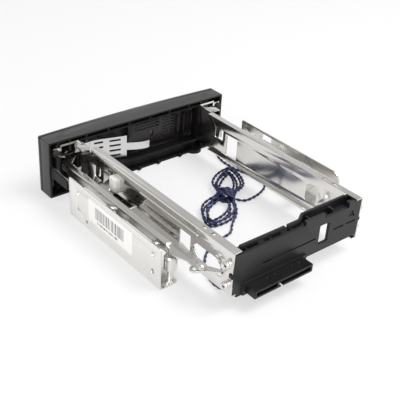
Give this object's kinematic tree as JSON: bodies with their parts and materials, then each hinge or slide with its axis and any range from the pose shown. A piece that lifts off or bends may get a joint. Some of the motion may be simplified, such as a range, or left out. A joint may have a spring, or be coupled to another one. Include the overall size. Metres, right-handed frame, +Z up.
{
  "type": "hot swap drive cage",
  "caption": "Trayless bay cage for a bare 3.5-inch drive, with a hinged front door, side rails, an eject linkage and a rear connector.",
  "frame": {"origin": "under the middle of the bounding box, on the surface that the cage stands on", "axes": "+Z up, -Y out of the front door, +X to the right as seen from the front, which is the side of the door hinge and the link bar"},
  "size_m": [0.148, 0.1824, 0.0417],
  "materials": {
    "gloss_black": "glossy moulded plastic",
    "matte_black": "fine textured moulded plastic",
    "door_black": "semi-gloss moulded plastic",
    "nickel_steel": "bright nickel-plated sheet steel",
    "spring_steel": "stainless spring steel",
    "zinc_steel": "nickel-plated fastener",
    "nylon": "white nylon",
    "board_green": "circuit board with solder mask",
    "connector_black": "glass-filled connector plastic",
    "gold_contact": "gold-plated contact",
    "component_grey": "moulded component",
    "lens": "clear lens",
    "lead_blue": "dark blue and black twisted wires",
    "label_white": "white paper label"
  },
  "bodies": {
    "cage": {"bezel_fascia": "gloss_black", "bezel_frame": "matte_black", "hinge_pin": "zinc_steel", "near_side_rail": "nickel_steel", "far_side_rail": "nickel_steel", "near_mounting_bracket": "nickel_steel", "far_mounting_bracket": "nickel_steel", "near_bracket_spacers": "zinc_steel", "far_bracket_spacers": "zinc_steel", "bar_guide_bushes": "zinc_steel", "bar_guide_posts": "zinc_steel", "guide_block": "nylon", "lever_pivot_screw": "zinc_steel", "rear_housing": "matte_black", "backplane_board": "board_green", "drive_socket": "connector_black", "socket_contacts": "gold_contact", "rear_plug": "connector_black", "plug_contacts": "gold_contact", "board_parts": "component_grey", "indicator_board": "board_green", "indicator_lamps": "lens", "front_lead_header": "nylon", "rear_lead_header": "nylon", "rail_rivets": "zinc_steel", "lead_front_run": "lead_blue", "lead_rear_run": "lead_blue", "lead_hank": "lead_blue", "bezel_screws": "zinc_steel", "tongue_screws": "zinc_steel", "rear_screws": "zinc_steel", "bracket_label": "label_white"},
    "door": {"door_panel": "door_black", "pressure_spring": "spring_steel", "spring_rivets": "zinc_steel", "door_arm": "nickel_steel", "door_arm_pin": "zinc_steel", "indicator_lenses": "lens"},
    "latch": {"latch_slider": "gloss_black", "catch_hook": "nickel_steel"},
    "bar": {"link_bar": "nickel_steel", "bar_pad": "connector_black", "link_rivet": "zinc_steel"},
    "lever": {"eject_lever": "nickel_steel"}
  },
  "joints": [
    {"name": "door_hinge", "type": "hinge", "parent": "cage", "child": "door", "pos_m": [0.062, -0.0855, 0.0205], "axis": [0, 0, 1], "range_deg": [0, 90]},
    {"name": "latch_slide", "type": "slide", "parent": "door", "child": "latch", "axis": [-1, 0, 0], "range_m": [0, 0.003]},
    {"name": "bar_slide", "type": "slide", "parent": "cage", "child": "bar", "axis": [0, -1, 0], "range_m": [0, 0.0078]},
    {"name": "lever_hinge", "type": "hinge", "parent": "cage", "child": "lever", "pos_m": [0.024, 0.0732, 0.0205], "axis": [0, 0, -1], "range_deg": [0, 11.2]}
  ],
  "couplings": [
    {"joint": "bar_slide", "follows": "door_hinge", "m_per_rad": 0.0049329},
    {"joint": "lever_hinge", "follows": "door_hinge", "ratio": 0.12316}
  ]
}
